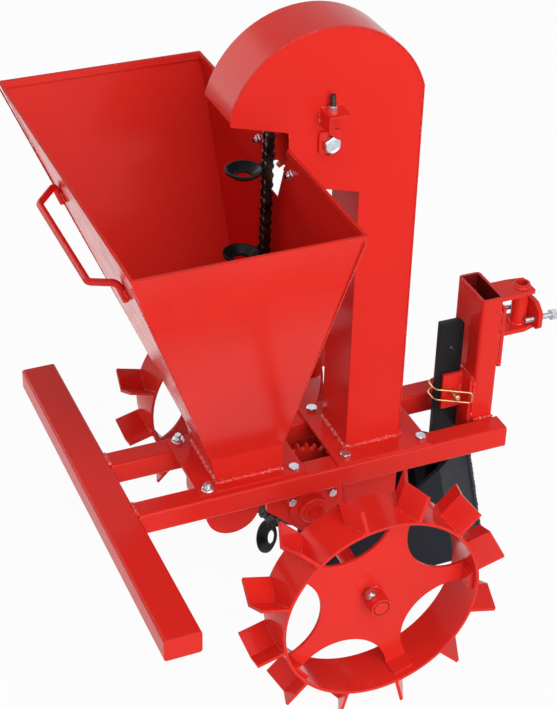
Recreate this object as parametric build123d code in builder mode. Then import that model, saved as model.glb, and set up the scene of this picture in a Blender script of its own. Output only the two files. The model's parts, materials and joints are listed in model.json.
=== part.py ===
"""Single-row potato planter for a walking tractor: a welded tube frame on two lugged ground wheels,
a sheet hopper, and a chain-and-cup elevator that the wheel axle drives.

X points forward to the hitch, Y to the left, Z up, in millimetres. Z = 0 is the ground.
Pieces made once for the right-hand side (negative Y) are mirrored for the left.
"""

import os
from math import asin, cos, degrees, radians, sin, sqrt, tan

from build123d import *

# Ground wheels
rim_radius = 168.0
rim_width = 80.0
rim_wall = 5.0
rim_outer_face = 343.0
lug_height = 46.0
lug_count = 12
lug_sheet = 5.0
lug_sweep = 19.0
disc_inset = 38.0
disc_sheet = 5.0
spoke_tab_width = 34.0
spoke_tab_length = 28.0
spoke_count = 5
spoke_first_angle = 72.5
cutout_centre = 173.0
cutout_radius = 85.0
hub_radius = 17.0
hub_end = 338.0
hub_bolt_angle = 213.0
hub_bolt_from_middle = 319.0

# Axle and its bearings
axle_radius = 12.5
axle_end = 339.0
axle_chamfer = 1.5
axle_drop = 86.0
axle_from_bar = 369.0
running_gap = 0.05
bush_radius = 16.0
housing_flange = 8.0
housing_body_radius = 38.0
housing_lobe_radius = 10.0
housing_bolt_circle = 42.0
housing_bolt_count = 3
housing_first_bolt = 30.0
housing_radius = 25.0
housing_reach = 15.0
bracket_sheet = 8.0
bracket_inset = 1.0
bracket_half_length = 77.0
bracket_side_height = 41.0
bracket_foot_half_width = 14.0
bracket_margin = 2.0

# Frame tubes
bar_rear = -405.0
bar_width = 60.0
bar_height = 40.0
bar_length = 736.0
beam_width = 40.0
beam_height = 40.0
beam_gap = 100.0
beam_length = 656.0
tube_wall = 3.0
tube_inner_corner = 2.0
cap_sheet = 3.0

# Hitch post, hitch and its swing-limit bolts
post_from_bar = 675.0
post_depth = 40.0
post_width = 90.0
post_height = 235.0
post_wall = 5.0
face_plate_sheet = 6.0
face_plate_low = 98.0
hitch_plate = 8.0
hitch_top = 221.0
hitch_clear_height = 62.0
hitch_half_width = 25.0
hitch_pin_from_post = 58.0
hitch_nose = 15.0
hitch_nose_length = 30.0
hitch_nose_half_width = 21.0
hitch_foot_half_width = 18.0
hitch_pin_radius = 10.0
barrel_radius = 14.0
barrel_proud = 5.0
ear_half_width = 42.0
ear_height = 47.0
ear_shoulder = 33.0
ear_top_half = 25.0
ear_corner = 9.0
limit_bolt_radius = 5.0
limit_bolt_spread = 24.0
limit_bolt_rise = 14.0
limit_bolt_length = 49.0
limit_bolt_head = 10.0
limit_bolt_proud = 26.0
limit_bolt_seated = 14.0

# Furrow opener, its bracket, pin and wire clip
stem_width = 45.0
stem_sheet = 10.0
stem_gap_to_post = 8.0
stem_top = 180.0
stem_bottom = -270.0
stem_hole_from_front = 19.0
stem_chamfer = 7.0
stem_hole_pitch = 80.0
stem_pin_height = 45.0
slide_gap = 0.3
clamp_sheet = 6.0
clamp_low = 9.0
clamp_high = 77.0
clamp_length = 43.0
clamp_base_half_width = 41.0
pin_radius = 5.0
pin_near_end = 39.0
pin_head_radius = 7.5
pin_head = 12.0
clip_wire = 1.5
clip_half_height = 10.3
clip_rear_reach = 32.0
clip_front_reach = 22.0
clip_rear_face = 14.0
clip_front_face = 46.0
clip_rear_bend = 13.0
clip_front_bend = 4.0
clip_end_bend = 2.5
share_sheet = 8.0
share_half_angle = 37.0
share_nose_top = 695.0
share_nose_low = 742.0
share_top_drop = 78.0
share_half_width = 64.0
share_rear = 404.0
share_rear_drop = 230.0
web_top_drop = 92.0
web_low = 14.0

# Hopper
hopper_rim_rear = -18.0
hopper_front = 318.0
hopper_half_width = 320.0
hopper_top = 581.0
hopper_sheet = 2.0
hem_width = 3.0
hem_height = 10.0
throat_rear = 204.0
throat_half_width = 60.0
fold_rear = 191.0
skirt_height = 48.0
flange_sheet = 5.0
flange_rear = 165.0
flange_front = 351.0
flange_half_width = 80.0
flange_bolt_rear = 183.0
flange_bolt_front = 333.0
notch_low = 484.0
notch_low_half_width = 15.0
notch_top_half_width = 52.0
trough_radius = 47.0
trough_axis_from_bar = 236.0
trough_axis_drop = 70.0
trough_sheet = 3.0
trough_gap = 2.0
cup_slot_half_width = 36.0
cup_slot_rear = 214.0
handle_radius = 5.5
handle_half_span = 120.0
handle_splay = 31.0
handle_reach = 33.0
handle_height = 476.0
handle_drop = 9.0
handle_bend = 14.0
handle_foot = 34.0
handle_foot_bend = 9.0

# Elevator tower
tower_half_width = 48.0
tower_sheet = 3.0
duct_rear = 436.0
duct_front = 535.0
hood_radius = 162.0
hood_axis_from_bar = 380.0
hood_axis_height = 600.0
hood_rear_height = 640.0
hood_lip = 10.0
plate_slope = 15.0
window_top = 487.0
tie_tab = 32.0
mouth_corner = 8.0
tie_low = 525.0
tie_high = 563.0
tie_bolt_inset = 14.0
base_plate_sheet = 6.0
base_plate_rear = 405.0
base_plate_front = 575.0
base_plate_half_width = 88.0
base_bolt_rear = 426.0
base_bolt_front = 564.0
lower_duct_length = 150.0
lower_duct_gap = 2.0

# Chain, sprockets and cups
chain_pitch = 15.875
sprocket_teeth = 30
straight_links = 42
chain_lean = 13.0
roller_radius = 5.08
roller_seat_gap = 0.12
tooth_height = 4.4
tooth_gap_half = 8.7
inner_width = 9.5
inner_plate = 2.0
outer_plate = 2.0
plate_gap = 0.1
link_end_radius = 7.2
link_waist = 11.0
chain_pin_radius = 2.5
sprocket_sheet = 8.6
sprocket_hub_radius = 24.0
drive_hub_half_length = 30.0
first_cup_link = 108
cup_count = 13
cup_radius = 29.0
cup_depth = 13.0
cup_wall = 3.0
cup_collar = 4.0
cup_hole_radius = 11.5
cup_centre_reach = 38.0
cup_foot_length = 12.0
cup_foot_width = 19.0
cup_foot = 3.0

# Chain tensioner on the tower sides
shaft_radius = 8.0
shaft_head_across = 24.0
shaft_head = 10.0
tension_travel = 14.0
carrier_sheet = 5.0
carrier_width = 36.0
carrier_low = 16.0
carrier_high = 20.0
rod_radius = 4.0
rod_low = 15.0
rod_top = 80.0
rod_nut_across = 13.0
rod_nut_height = 6.5
angle_rise = 54.0
angle_rear = 16.5
angle_length = 34.0
angle_depth = 35.0
angle_leg = 23.0
angle_sheet = 3.0

# Fasteners
bolt_radius = 5.0
bolt_hole_gap = 0.3
hex_across = 17.0
hex_height = 6.5
bolt_tail = 3.0
stud_tail = 6.5
small_bolt_radius = 4.0
small_hex_across = 13.0
small_hex_height = 5.5
hex_face_inset = 0.4
hex_turned_angle = 30.0

# Places worked out from the sizes above
half_pitch = radians(180.0 / lug_count)
lug_tip = rim_radius + lug_height
lug_chord = lug_sheet * sqrt(1 + (2 * lug_sweep / rim_width) ** 2)
lug_half_depth = (lug_sweep + lug_chord) / 2
axle_z = lug_tip * cos(half_pitch) + lug_half_depth * sin(half_pitch)
axle_x = bar_rear + axle_from_bar
beam_top = axle_z + axle_drop
tube_corner = tube_inner_corner + tube_wall
post_corner = tube_inner_corner + post_wall
small_hole = small_bolt_radius + bolt_hole_gap
bar_front = bar_rear + bar_width
beam_front = bar_front + beam_length
beam_inner = beam_gap / 2
beam_middle = beam_inner + beam_width / 2
beam_bottom = beam_top - beam_height
wheel_inner_face = rim_outer_face - rim_width
post_rear = bar_rear + post_from_bar
post_front = post_rear + post_depth
bracket_inner = beam_inner + bracket_inset
bracket_outer = bracket_inner + bracket_sheet
pitch_radius = chain_pitch / (2 * sin(radians(180.0 / sprocket_teeth)))
centre_distance = straight_links * chain_pitch
chain_tilt = asin(chain_lean / centre_distance)
top_shaft_x = axle_x + chain_lean
top_shaft_z = axle_z + centre_distance * cos(chain_tilt)
link_count = 2 * straight_links + sprocket_teeth
across_flats_to_radius = 1 / sqrt(3)

os.makedirs("parts", exist_ok=True)


def write(builder, name):
    """Labels a finished piece and writes it as its own file."""
    builder.part.label = name
    export_step(builder.part, f"parts/{name}.step")


def side_plane(y):
    """Upright plane at this Y, with X right and Z up, facing the right-hand side."""
    return Plane.XZ.offset(-y)


def from_bar(x):
    """X of a place measured forward from the rear bar's rear face."""
    return bar_rear + x


def above_beam(z):
    """Z of a place measured up from the top of the beams."""
    return beam_top + z


def tube_profile(width, height, wall):
    """Hollow rectangle with rounded corners, in the sketch being drawn."""
    RectangleRounded(width, height, tube_inner_corner + wall)
    RectangleRounded(width - 2 * wall, height - 2 * wall, tube_inner_corner, mode=Mode.SUBTRACT)


def hexagon(across):
    """Hexagon head outline by its width across flats, in the sketch being drawn."""
    RegularPolygon(across * across_flats_to_radius, 6)


def hex_head(across, height):
    """Hexagon head or nut standing on the XY plane, its upper corners turned off to a circle."""
    corner = across * across_flats_to_radius
    face = across / 2 - hex_face_inset
    turned = (corner - face) * tan(radians(hex_turned_angle))
    with BuildPart() as head:
        with BuildSketch():
            hexagon(across)
        extrude(amount=height)
        with BuildSketch(Plane.XZ):
            Polygon((0, 0), (corner, 0), (corner, height - turned), (face, height), (0, height), align=None)
        revolve(axis=Axis.Z, mode=Mode.INTERSECT)
    return head.part


def seat(x, y, z, facing):
    """Place of a head or nut that stands on this point and faces this way."""
    return Plane(origin=(x, y, z), z_dir=facing).location


# Rear bar and beams

with BuildPart() as rear_bar:
    with BuildSketch(side_plane(bar_length / 2)):
        with Locations((bar_rear + bar_width / 2, beam_top - bar_height / 2)):
            tube_profile(bar_width, bar_height, tube_wall)
    extrude(amount=bar_length)
write(rear_bar, "rear_bar")

with BuildPart() as rear_bar_caps:
    with BuildSketch(side_plane(bar_length / 2 + cap_sheet)):
        with Locations((bar_rear + bar_width / 2, beam_top - bar_height / 2)):
            RectangleRounded(bar_width, bar_height, tube_corner)
    extrude(amount=cap_sheet)
    mirror(about=Plane.XZ)
write(rear_bar_caps, "rear_bar_caps")

flange_bolt_xs = (from_bar(flange_bolt_rear), from_bar(flange_bolt_front))
base_bolt_xs = (from_bar(base_bolt_rear), from_bar(base_bolt_front))

with BuildPart() as right_beam:
    with BuildSketch(Plane.YZ.offset(bar_front)):
        with Locations((-beam_middle, beam_top - beam_height / 2)):
            tube_profile(beam_width, beam_height, tube_wall)
    extrude(amount=beam_length)
    with BuildSketch(Plane.XY.offset(beam_bottom)):
        with Locations(*[(x, -beam_middle) for x in flange_bolt_xs + base_bolt_xs]):
            Circle(bolt_radius + bolt_hole_gap)
    extrude(amount=beam_height, mode=Mode.SUBTRACT)
write(right_beam, "right_beam")

with BuildPart() as left_beam:
    mirror(right_beam.part, about=Plane.XZ)
write(left_beam, "left_beam")

with BuildPart() as beam_caps:
    with BuildSketch(Plane.YZ.offset(beam_front)):
        with Locations((-beam_middle, beam_top - beam_height / 2)):
            RectangleRounded(beam_width, beam_height, tube_corner)
    extrude(amount=cap_sheet)
    mirror(about=Plane.XZ)
write(beam_caps, "beam_caps")

# Hitch post between the beam ends

with BuildPart() as hitch_post:
    with BuildSketch(Plane.XY.offset(beam_bottom)):
        with Locations((post_rear + post_depth / 2, 0)):
            tube_profile(post_depth, post_width, post_wall)
    extrude(amount=beam_height + post_height)
write(hitch_post, "hitch_post")

with BuildPart() as post_fillers:
    with BuildSketch(side_plane(-post_width / 2)):
        with Locations((post_rear + post_depth / 2, beam_top - beam_height / 2)):
            Rectangle(post_depth - 2 * post_corner, beam_height - 2 * tube_corner)
    extrude(amount=beam_inner - post_width / 2)
    mirror(about=Plane.XZ)
write(post_fillers, "post_fillers")

face_plate_top = hitch_top - hitch_plate
with BuildPart() as post_face_plate:
    with BuildSketch(Plane.YZ.offset(post_front)):
        with Locations((0, above_beam((face_plate_low + face_plate_top) / 2))):
            Rectangle(post_width, face_plate_top - face_plate_low)
    extrude(amount=face_plate_sheet)
write(post_face_plate, "post_face_plate")

# Hitch: two plates on a vertical pin barrel, which stands proud of the upper one

hitch_rear = post_front + face_plate_sheet
hitch_pin_x = post_front + hitch_pin_from_post
hitch_top_z = above_beam(hitch_top)
hitch_low_z = hitch_top_z - 2 * hitch_plate - hitch_clear_height
ear_rear = hitch_pin_x + barrel_radius
hitch_front = hitch_pin_x + hitch_nose
ear_front = ear_rear + hitch_plate


def hitch_outline(rear, shoulder, front, front_half_width):
    """Plate running forward from the post and narrowing past its shoulder, in the sketch being drawn."""
    Polygon((rear, -hitch_half_width), (shoulder, -hitch_half_width), (front, -front_half_width),
            (front, front_half_width), (shoulder, hitch_half_width), (rear, hitch_half_width), align=None)


with BuildPart() as hitch_top_plate:
    with BuildSketch(Plane.XY.offset(hitch_top_z - hitch_plate)):
        hitch_outline(post_front, hitch_front - hitch_nose_length, hitch_front, hitch_nose_half_width)
        with Locations((hitch_pin_x, 0)):
            Circle(barrel_radius, mode=Mode.SUBTRACT)
    extrude(amount=hitch_plate)
write(hitch_top_plate, "hitch_top_plate")

with BuildPart() as hitch_bottom_plate:
    with BuildSketch(Plane.XY.offset(hitch_low_z)):
        hitch_outline(hitch_rear, hitch_pin_x, ear_front, hitch_foot_half_width)
        with Locations((hitch_pin_x, 0)):
            Circle(hitch_pin_radius, mode=Mode.SUBTRACT)
    extrude(amount=hitch_plate)
write(hitch_bottom_plate, "hitch_bottom_plate")

with BuildPart() as hitch_barrel:
    with BuildSketch(Plane.XY.offset(hitch_low_z + hitch_plate)):
        with Locations((hitch_pin_x, 0)):
            Circle(barrel_radius)
            Circle(hitch_pin_radius, mode=Mode.SUBTRACT)
    extrude(amount=hitch_clear_height + hitch_plate + barrel_proud)
write(hitch_barrel, "hitch_barrel")

ear_low = hitch_low_z + hitch_plate
limit_bolt_z = ear_low + limit_bolt_rise
limit_bolt_hole = limit_bolt_radius + running_gap
limit_bolt_spots = [(-limit_bolt_spread, limit_bolt_z), (limit_bolt_spread, limit_bolt_z)]

with BuildPart() as hitch_ear_plate:
    with BuildSketch(Plane.YZ.offset(ear_rear)):
        with BuildLine():
            Polyline((-ear_half_width, ear_low), (ear_half_width, ear_low),
                     (ear_half_width, ear_low + ear_shoulder),
                     (ear_top_half, ear_low + ear_height),
                     (-ear_top_half, ear_low + ear_height),
                     (-ear_half_width, ear_low + ear_shoulder), close=True)
        make_face()
        fillet(vertices(), ear_corner)
        with Locations(*limit_bolt_spots):
            Circle(limit_bolt_hole, mode=Mode.SUBTRACT)
    extrude(amount=hitch_plate)
write(hitch_ear_plate, "hitch_ear_plate")


def limit_bolt(y, proud):
    """Hexagon bolt along X whose head stands this far in front of the ear plate."""
    head_rear = ear_front + proud
    with BuildPart() as bolt:
        with Locations(seat(head_rear, y, limit_bolt_z, (1, 0, 0))):
            add(hex_head(hex_across, limit_bolt_head))
        with BuildSketch(Plane.YZ.offset(head_rear - limit_bolt_length)):
            with Locations((y, limit_bolt_z)):
                Circle(limit_bolt_radius)
        extrude(amount=limit_bolt_length)
    return bolt


right_limit_bolt = limit_bolt(-limit_bolt_spread, limit_bolt_proud)
write(right_limit_bolt, "right_limit_bolt")
left_limit_bolt = limit_bolt(limit_bolt_spread, limit_bolt_seated)
write(left_limit_bolt, "left_limit_bolt")

# Furrow opener: stem, two swept wings, clamp plates and their base plate, pin and wire clip

stem_front = post_rear - stem_gap_to_post
stem_hole_x = stem_front - stem_hole_from_front
stem_rear = stem_front - stem_width
stem_pin_z = above_beam(stem_pin_height)
stem_low = above_beam(stem_bottom)
pin_hole_radius = pin_radius + running_gap
clamp_inner = stem_sheet / 2 + slide_gap
clamp_outer = clamp_inner + clamp_sheet
clamp_rear = post_rear - clamp_length
clamp_base_rear = stem_front + slide_gap
clamp_top_z = above_beam(clamp_high)

with BuildPart() as opener_stem:
    with BuildSketch(side_plane(stem_sheet / 2)):
        with BuildLine():
            Polyline((stem_rear, stem_low), (stem_front, stem_low),
                     (stem_front, above_beam(stem_top) - stem_chamfer),
                     (stem_front - stem_chamfer, above_beam(stem_top)),
                     (stem_rear, above_beam(stem_top)), close=True)
        make_face()
        with Locations(*[(stem_hole_x, stem_pin_z + step * stem_hole_pitch) for step in (0, 1)]):
            Circle(pin_hole_radius, mode=Mode.SUBTRACT)
    extrude(amount=stem_sheet)
write(opener_stem, "opener_stem")

# The two wings meet along a raked nose, spread to the furrow's width and run back on each side of it

wing_cos = cos(radians(share_half_angle))
wing_sin = sin(radians(share_half_angle))
wing_setback = share_sheet / wing_sin
share_top_z = above_beam(-share_top_drop)
share_rear_x = from_bar(share_rear)


def nose_x(z):
    """X of the raked nose line at this height."""
    top, low = from_bar(share_nose_top), from_bar(share_nose_low)
    return low + (top - low) * z / share_top_z


def spread_x(nose, half_width):
    """X where a wing that starts at this nose has spread to this half width."""
    return nose - half_width * wing_cos / wing_sin


def wing_section(z):
    """Level cut through the right wing: a bent strip running outward from the nose, then straight back."""
    nose = nose_x(z)
    inside = share_half_width - share_sheet
    with BuildSketch(Plane.XY.offset(z)) as section:
        Polygon((nose, 0), (spread_x(nose, share_half_width), -share_half_width),
                (share_rear_x, -share_half_width), (share_rear_x, -inside),
                (spread_x(nose - wing_setback, inside), -inside), (nose - wing_setback, 0), align=None)
    return section.sketch


with BuildPart() as right_wing:
    loft([wing_section(0), wing_section(share_top_z)], ruled=True)
    with BuildSketch(side_plane(0)):
        Polygon((share_rear_x, above_beam(-share_rear_drop)), (share_rear_x, share_top_z),
                (spread_x(nose_x(share_top_z), share_half_width), share_top_z), align=None)
    extrude(amount=share_half_width, mode=Mode.SUBTRACT)
write(right_wing, "right_opener_wing")

with BuildPart() as left_wing:
    mirror(right_wing.part, about=Plane.XZ)
write(left_wing, "left_opener_wing")

web_setback = (share_sheet + stem_sheet / 2 * wing_cos) / wing_sin
web_top_z = above_beam(-web_top_drop)
with BuildPart() as opener_web:
    with BuildSketch(side_plane(stem_sheet / 2)):
        Polygon((stem_front, stem_low), (nose_x(web_low) - web_setback, web_low),
                (nose_x(web_top_z) - web_setback, web_top_z), (stem_front, web_top_z), align=None)
    extrude(amount=stem_sheet)
write(opener_web, "opener_web")

with BuildPart() as clamp_base:
    with BuildSketch(Plane.YZ.offset(clamp_base_rear)):
        with Locations((0, (beam_bottom + clamp_top_z) / 2)):
            Rectangle(2 * clamp_base_half_width, clamp_top_z - beam_bottom)
    extrude(amount=post_rear - clamp_base_rear)
write(clamp_base, "clamp_base")

with BuildPart() as stem_clamp:
    with BuildSketch(side_plane(-clamp_inner)):
        with Locations(((clamp_rear + clamp_base_rear) / 2, above_beam((clamp_low + clamp_high) / 2))):
            Rectangle(clamp_base_rear - clamp_rear, clamp_high - clamp_low)
        with Locations((stem_hole_x, stem_pin_z)):
            Circle(pin_hole_radius, mode=Mode.SUBTRACT)
    extrude(amount=clamp_sheet)
    mirror(about=Plane.XZ)
write(stem_clamp, "stem_clamp")

head_face = clamp_outer + slide_gap
clip_pivot_y = head_face + pin_head / 2

with BuildPart() as opener_pin:
    with BuildSketch(side_plane(head_face)):
        with Locations((stem_hole_x, stem_pin_z)):
            Circle(pin_radius)
    extrude(amount=head_face + pin_near_end)
    chamfer(opener_pin.edges().sort_by(Axis.Y)[0], pin_radius / 4)
    with BuildSketch(side_plane(head_face + pin_head)):
        with Locations((stem_hole_x, stem_pin_z)):
            Circle(pin_head_radius)
    extrude(amount=pin_head)
    with BuildSketch(Plane.XY.offset(stem_pin_z - 2 * pin_head_radius)):
        with Locations((stem_hole_x, clip_pivot_y)):
            Circle(clip_wire + running_gap)
    extrude(amount=4 * pin_head_radius, mode=Mode.SUBTRACT)
write(opener_pin, "opener_pin")

clip_rear = stem_hole_x - clip_rear_reach
clip_front = stem_hole_x + clip_front_reach
clip_up = stem_pin_z + clip_half_height
clip_down = stem_pin_z - clip_half_height
clip_tuck = pin_head_radius / 3

with BuildPart() as pin_clip:
    with BuildLine() as clip_path:
        FilletPolyline(
            (stem_hole_x, clip_pivot_y, stem_pin_z + clip_tuck),
            (stem_hole_x, clip_pivot_y, clip_up),
            (clip_rear, clip_pivot_y, clip_up),
            (clip_rear, -clip_rear_face, clip_up),
            (clip_front, -clip_front_face, clip_up),
            (clip_front, -clip_front_face, clip_down),
            (clip_rear, -clip_rear_face, clip_down),
            (clip_rear, clip_pivot_y, clip_down),
            (stem_hole_x, clip_pivot_y, clip_down),
            (stem_hole_x, clip_pivot_y, stem_pin_z - clip_tuck),
            radius=(clip_end_bend, clip_rear_bend, clip_rear_bend, clip_front_bend,
                    clip_front_bend, clip_rear_bend, clip_rear_bend, clip_end_bend))
    with BuildSketch(Plane(clip_path.line @ 0, z_dir=clip_path.line % 0)):
        Circle(clip_wire)
    sweep()
write(pin_clip, "pin_clip")

# Ground wheels, made about the axle line and placed by their hub

disc_face = rim_outer_face - disc_inset
rim_inside = rim_radius - rim_wall

with BuildPart() as right_rim:
    with BuildSketch(side_plane(-wheel_inner_face)):
        with Locations((axle_x, axle_z)):
            Circle(rim_radius)
            Circle(rim_inside, mode=Mode.SUBTRACT)
    extrude(amount=rim_width)
write(right_rim, "right_wheel_rim")

with BuildPart() as right_disc:
    with BuildSketch(side_plane(-disc_face + disc_sheet)):
        with Locations((axle_x, axle_z)):
            Circle(rim_inside)
            Circle(axle_radius, mode=Mode.SUBTRACT)
            with PolarLocations(cutout_centre, spoke_count,
                                start_angle=spoke_first_angle + 180.0 / spoke_count):
                Circle(cutout_radius, mode=Mode.SUBTRACT)
    extrude(amount=disc_sheet)
    with BuildSketch(side_plane(-disc_face)):
        with Locations((axle_x, axle_z)):
            with PolarLocations(rim_inside, spoke_count, start_angle=spoke_first_angle):
                Rectangle(4 * disc_sheet, spoke_tab_width)
            Circle(rim_inside, mode=Mode.INTERSECT)
            Circle(rim_inside - disc_sheet, mode=Mode.SUBTRACT)
    extrude(amount=spoke_tab_length)
write(right_disc, "right_wheel_disc")

with BuildPart() as lug:
    with BuildSketch(Plane.XY.offset(rim_inside)):
        Polygon((-lug_half_depth, 0), (lug_half_depth - lug_chord, -rim_width / 2),
                (lug_half_depth, -rim_width / 2), (lug_chord - lug_half_depth, 0),
                (lug_half_depth, rim_width / 2), (lug_half_depth - lug_chord, rim_width / 2), align=None)
    extrude(amount=lug_tip - rim_inside)
    with BuildSketch(Plane.XZ):
        Circle(rim_radius)
    extrude(amount=rim_width, both=True, mode=Mode.SUBTRACT)

right_wheel_y = -(rim_outer_face - rim_width / 2)
with BuildPart() as right_lugs:
    with Locations(*[Location((axle_x, right_wheel_y, axle_z), (0, (k + 0.5) * 360.0 / lug_count, 0))
                     for k in range(lug_count)]):
        add(lug.part)
write(right_lugs, "right_wheel_lugs")

with BuildPart() as right_hub:
    with BuildSketch(side_plane(-disc_face)):
        with Locations((axle_x, axle_z)):
            Circle(hub_radius)
            Circle(axle_radius, mode=Mode.SUBTRACT)
    extrude(amount=hub_end - disc_face)
hub_bolt_way = (-sin(radians(hub_bolt_angle)), 0, cos(radians(hub_bolt_angle)))
hub_bolt_plane = Plane(origin=(axle_x, -hub_bolt_from_middle, axle_z), z_dir=hub_bolt_way)
with BuildPart(mode=Mode.PRIVATE) as hub_bolt_bore:
    with BuildSketch(hub_bolt_plane):
        Circle(bolt_radius + bolt_hole_gap)
    extrude(amount=2 * hub_radius, both=True)
with BuildPart() as right_hub_bored:
    add(right_hub.part)
    add(hub_bolt_bore.part, mode=Mode.SUBTRACT)
write(right_hub_bored, "right_wheel_hub")

with BuildPart() as hub_bolts:
    with Locations(hub_bolt_plane.offset(hub_radius).location):
        add(hex_head(hex_across, hex_height))
    with Locations((-hub_bolt_plane).offset(hub_radius).location):
        add(hex_head(hex_across, hex_height))
    with BuildSketch(hub_bolt_plane.offset(-hub_radius - hex_height - bolt_tail)):
        Circle(bolt_radius)
    extrude(amount=2 * hub_radius + hex_height + bolt_tail)
    mirror(about=Plane.XZ)
write(hub_bolts, "hub_bolts")

for builder, name in ((right_rim, "left_wheel_rim"), (right_disc, "left_wheel_disc"),
                      (right_lugs, "left_wheel_lugs"), (right_hub_bored, "left_wheel_hub")):
    with BuildPart() as left_copy:
        mirror(builder.part, about=Plane.XZ)
    write(left_copy, name)

with BuildPart() as axle:
    with BuildSketch(side_plane(axle_end)):
        with Locations((axle_x, axle_z)):
            Circle(axle_radius)
    extrude(amount=2 * axle_end)
    chamfer(axle.edges().filter_by(GeomType.CIRCLE), axle_chamfer)
    add(hub_bolt_bore.part, mode=Mode.SUBTRACT)
    add(mirror(hub_bolt_bore.part, about=Plane.XZ, mode=Mode.PRIVATE), mode=Mode.SUBTRACT)
write(axle, "axle")

# Axle bearings hung under the beams

bracket_low = axle_z - housing_bolt_circle - housing_lobe_radius - bracket_margin
bracket_side_low = beam_bottom - bracket_side_height
housing_face = bracket_outer + housing_flange
housing_outer = housing_face + housing_reach


def bearing_bolt_spots(radius):
    """Places round the axle in line with the housing bolts, in the sketch being drawn."""
    return PolarLocations(radius, housing_bolt_count, start_angle=housing_first_bolt)


with BuildPart() as bearing_brackets:
    with BuildSketch(side_plane(-bracket_inner)):
        Polygon((axle_x - bracket_half_length, beam_bottom),
                (axle_x - bracket_half_length, bracket_side_low),
                (axle_x - bracket_foot_half_width, bracket_low),
                (axle_x + bracket_foot_half_width, bracket_low),
                (axle_x + bracket_half_length, bracket_side_low),
                (axle_x + bracket_half_length, beam_bottom), align=None)
        with Locations((axle_x, axle_z)):
            Circle(bush_radius, mode=Mode.SUBTRACT)
            with bearing_bolt_spots(housing_bolt_circle):
                Circle(small_hole, mode=Mode.SUBTRACT)
    extrude(amount=bracket_sheet)
    mirror(about=Plane.XZ)
write(bearing_brackets, "bearing_brackets")

with BuildPart() as bearing_housings:
    with BuildSketch(side_plane(-bracket_outer)):
        with Locations((axle_x, axle_z)):
            Circle(housing_body_radius)
            with bearing_bolt_spots(housing_bolt_circle / 2):
                Rectangle(housing_bolt_circle, 2 * housing_lobe_radius)
            with bearing_bolt_spots(housing_bolt_circle):
                Circle(housing_lobe_radius)
                Circle(small_hole, mode=Mode.SUBTRACT)
            Circle(bush_radius, mode=Mode.SUBTRACT)
    extrude(amount=housing_flange)
    with BuildSketch(side_plane(-housing_face)):
        with Locations((axle_x, axle_z)):
            Circle(housing_radius)
            Circle(bush_radius, mode=Mode.SUBTRACT)
    extrude(amount=housing_reach)
    fillet(bearing_housings.edges().filter_by(GeomType.CIRCLE).group_by(Axis.Y)[0]
           .sort_by(SortBy.RADIUS)[-1], housing_flange / 2)
    mirror(about=Plane.XZ)
write(bearing_housings, "bearing_housings")

with BuildPart() as bearing_bushes:
    with BuildSketch(side_plane(-bracket_inner)):
        with Locations((axle_x, axle_z)):
            Circle(bush_radius)
            Circle(axle_radius + running_gap, mode=Mode.SUBTRACT)
    extrude(amount=housing_outer - bracket_inner)
    mirror(about=Plane.XZ)
write(bearing_bushes, "bearing_bushes")

with BuildPart() as bearing_bolts:
    for step in range(housing_bolt_count):
        turn = radians(housing_first_bolt + step * 360.0 / housing_bolt_count)
        x = axle_x + housing_bolt_circle * cos(turn)
        z = axle_z + housing_bolt_circle * sin(turn)
        with Locations(seat(x, -housing_face, z, (0, -1, 0)), seat(x, -bracket_inner, z, (0, 1, 0))):
            add(hex_head(small_hex_across, small_hex_height))
        with BuildSketch(side_plane(-bracket_inner + small_hex_height + bolt_tail)):
            with Locations((x, z)):
                Circle(small_bolt_radius)
        extrude(amount=bracket_sheet + housing_flange + small_hex_height + bolt_tail)
    mirror(about=Plane.XZ)
write(bearing_bolts, "bearing_bolts")

# Sprockets, chain and cups


def chain_point(link):
    """X and Z of the chain pin with this number, counted up the rear run from the axle's level."""
    tooth_step = 360.0 / sprocket_teeth
    wrap = sprocket_teeth / 2
    link = link % link_count
    if link <= straight_links:
        along, rear = link * chain_pitch, pitch_radius
    elif link <= straight_links + wrap:
        turn = radians((link - straight_links) * tooth_step)
        along, rear = centre_distance + pitch_radius * sin(turn), pitch_radius * cos(turn)
    elif link <= 2 * straight_links + wrap:
        along, rear = (2 * straight_links + wrap - link) * chain_pitch, -pitch_radius
    else:
        turn = radians((link - 2 * straight_links - wrap) * tooth_step)
        along, rear = -pitch_radius * sin(turn), -pitch_radius * cos(turn)
    return (axle_x + along * sin(chain_tilt) - rear * cos(chain_tilt),
            axle_z + along * cos(chain_tilt) + rear * sin(chain_tilt))


def link_place(link):
    """Place of a link: its middle, X along the chain's travel and Y out of the loop."""
    x0, z0 = chain_point(link)
    x1, z1 = chain_point(link + 1)
    return Plane(origin=((x0 + x1) / 2, 0, (z0 + z1) / 2),
                 x_dir=(x1 - x0, 0, z1 - z0), z_dir=(0, -1, 0)).location


def pin_spots():
    """The two pin places of a link, one pitch apart."""
    return Locations((-chain_pitch / 2, 0), (chain_pitch / 2, 0))


def link_outline():
    """Waisted link plate round two pins, in the sketch being drawn."""
    with pin_spots():
        Circle(link_end_radius)
    Rectangle(chain_pitch, link_waist)


inner_face = inner_width / 2
inner_outside = inner_face + inner_plate
outer_inside = inner_outside + plate_gap
outer_outside = outer_inside + outer_plate

with BuildPart() as inner_link:
    for face in (inner_face, -inner_outside):
        with BuildSketch(Plane.XY.offset(face)):
            link_outline()
        extrude(amount=inner_plate)
    with BuildSketch(Plane.XY.offset(-inner_face)):
        with pin_spots():
            Circle(roller_radius)
    extrude(amount=inner_width)
    with BuildSketch(Plane.XY.offset(-inner_outside)):
        with pin_spots():
            Circle(chain_pin_radius + running_gap)
    extrude(amount=2 * inner_outside, mode=Mode.SUBTRACT)

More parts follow.
